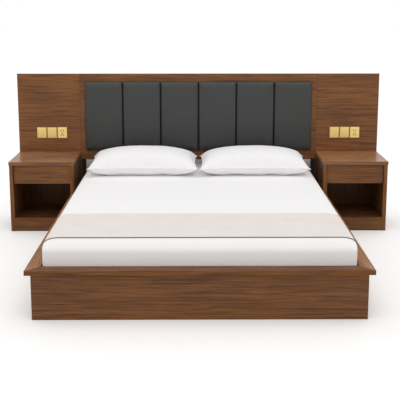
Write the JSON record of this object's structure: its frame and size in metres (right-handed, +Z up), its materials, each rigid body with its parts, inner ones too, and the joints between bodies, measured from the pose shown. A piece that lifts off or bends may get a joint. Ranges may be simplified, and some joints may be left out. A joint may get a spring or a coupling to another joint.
{
  "type": "platform bed with nightstands",
  "caption": "Platform bed with a recessed mattress in an overhanging rim, a padded wall headboard with switch plates, and open nightstands with a drawer fixed at both sides.",
  "frame": {"origin": "on the floor, at the centre of the whole plan", "axes": "+X across the bed to the right seen from the foot, +Y from the foot to the headboard, +Z up"},
  "size_m": [2.927, 2.134, 1.19],
  "materials": {
    "walnut_veneer": "satin lacquered walnut veneer, grain along the boards",
    "birch_plywood": "plain sealed birch plywood",
    "charcoal_leatherette": "matt fine-grained leatherette",
    "charcoal_board": "matt charcoal laminate",
    "grey_stop_fabric": "pale grey woven cover over thin foam",
    "white_sheeting": "white cotton sheeting, smooth",
    "white_pillowcase": "white cotton pillowcase",
    "linen_runner": "natural linen, fine ribbed weave",
    "brushed_brass": "satin brushed brass",
    "zinc_steel": "zinc-plated steel",
    "grey_plastic": "moulded grey plastic"
  },
  "bodies": {
    "root": {"foot_panel": "walnut_veneer", "left_side_panel": "walnut_veneer", "right_side_panel": "walnut_veneer", "head_cross_rail": "birch_plywood", "foot_rim": "walnut_veneer", "left_rim": "walnut_veneer", "right_rim": "walnut_veneer", "centre_beam": "birch_plywood", "centre_legs": "birch_plywood", "slat_ledgers": "birch_plywood", "slats": "birch_plywood", "corner_blocks": "birch_plywood", "joining_bolts": "zinc_steel", "mattress": "white_sheeting", "bed_runner": "linen_runner", "left_pillow": "white_pillowcase", "right_pillow": "white_pillowcase", "left_wing_panel": "walnut_veneer", "right_wing_panel": "walnut_veneer", "centre_panel": "walnut_veneer", "back_rails": "birch_plywood", "back_stiles": "birch_plywood", "lower_back_panel": "charcoal_board", "mattress_stop_pad": "grey_stop_fabric", "pad_backboards": "birch_plywood", "upholstered_panel_1": "charcoal_leatherette", "upholstered_panel_2": "charcoal_leatherette", "upholstered_panel_3": "charcoal_leatherette", "upholstered_panel_4": "charcoal_leatherette", "upholstered_panel_5": "charcoal_leatherette", "upholstered_panel_6": "charcoal_leatherette", "switch_frames": "brushed_brass", "socket_faces": "brushed_brass", "wiring_boxes": "grey_plastic", "left_stand_top": "walnut_veneer", "right_stand_top": "walnut_veneer", "left_outer_side": "walnut_veneer", "right_outer_side": "walnut_veneer", "left_inner_side": "walnut_veneer", "right_inner_side": "walnut_veneer", "left_bottom_shelf": "walnut_veneer", "right_bottom_shelf": "walnut_veneer", "plinths": "walnut_veneer", "left_back_panel": "walnut_veneer", "right_back_panel": "walnut_veneer", "cabinet_runners": "zinc_steel"},
    "left_rocker_1": {"left_rocker_1": "brushed_brass"},
    "left_rocker_2": {"left_rocker_2": "brushed_brass"},
    "right_rocker_1": {"right_rocker_1": "brushed_brass"},
    "right_rocker_2": {"right_rocker_2": "brushed_brass"},
    "left_drawer": {"left_drawer_front": "walnut_veneer", "left_drawer_sides": "birch_plywood", "left_drawer_back": "birch_plywood", "left_drawer_bottom": "birch_plywood", "left_drawer_runners": "zinc_steel"},
    "right_drawer": {"right_drawer_front": "walnut_veneer", "right_drawer_sides": "birch_plywood", "right_drawer_back": "birch_plywood", "right_drawer_bottom": "birch_plywood", "right_drawer_runners": "zinc_steel"}
  },
  "joints": [
    {"name": "left_drawer_slide", "type": "slide", "parent": "root", "child": "left_drawer", "axis": [0, -1, 0], "range_m": [0, 0.26]},
    {"name": "right_drawer_slide", "type": "slide", "parent": "root", "child": "right_drawer", "axis": [0, -1, 0], "range_m": [0, 0.26]},
    {"name": "left_rocker_1_tilt", "type": "hinge", "parent": "root", "child": "left_rocker_1", "pos_m": [-1.2755, 1.012, 0.709], "axis": [1, 0, 0], "range_deg": [-6, 0]},
    {"name": "left_rocker_2_tilt", "type": "hinge", "parent": "root", "child": "left_rocker_2", "pos_m": [-1.1925, 1.012, 0.709], "axis": [1, 0, 0], "range_deg": [-6, 0]},
    {"name": "right_rocker_1_tilt", "type": "hinge", "parent": "root", "child": "right_rocker_1", "pos_m": [1.1095, 1.012, 0.709], "axis": [1, 0, 0], "range_deg": [-6, 0]},
    {"name": "right_rocker_2_tilt", "type": "hinge", "parent": "root", "child": "right_rocker_2", "pos_m": [1.1925, 1.012, 0.709], "axis": [1, 0, 0], "range_deg": [-6, 0]}
  ]
}
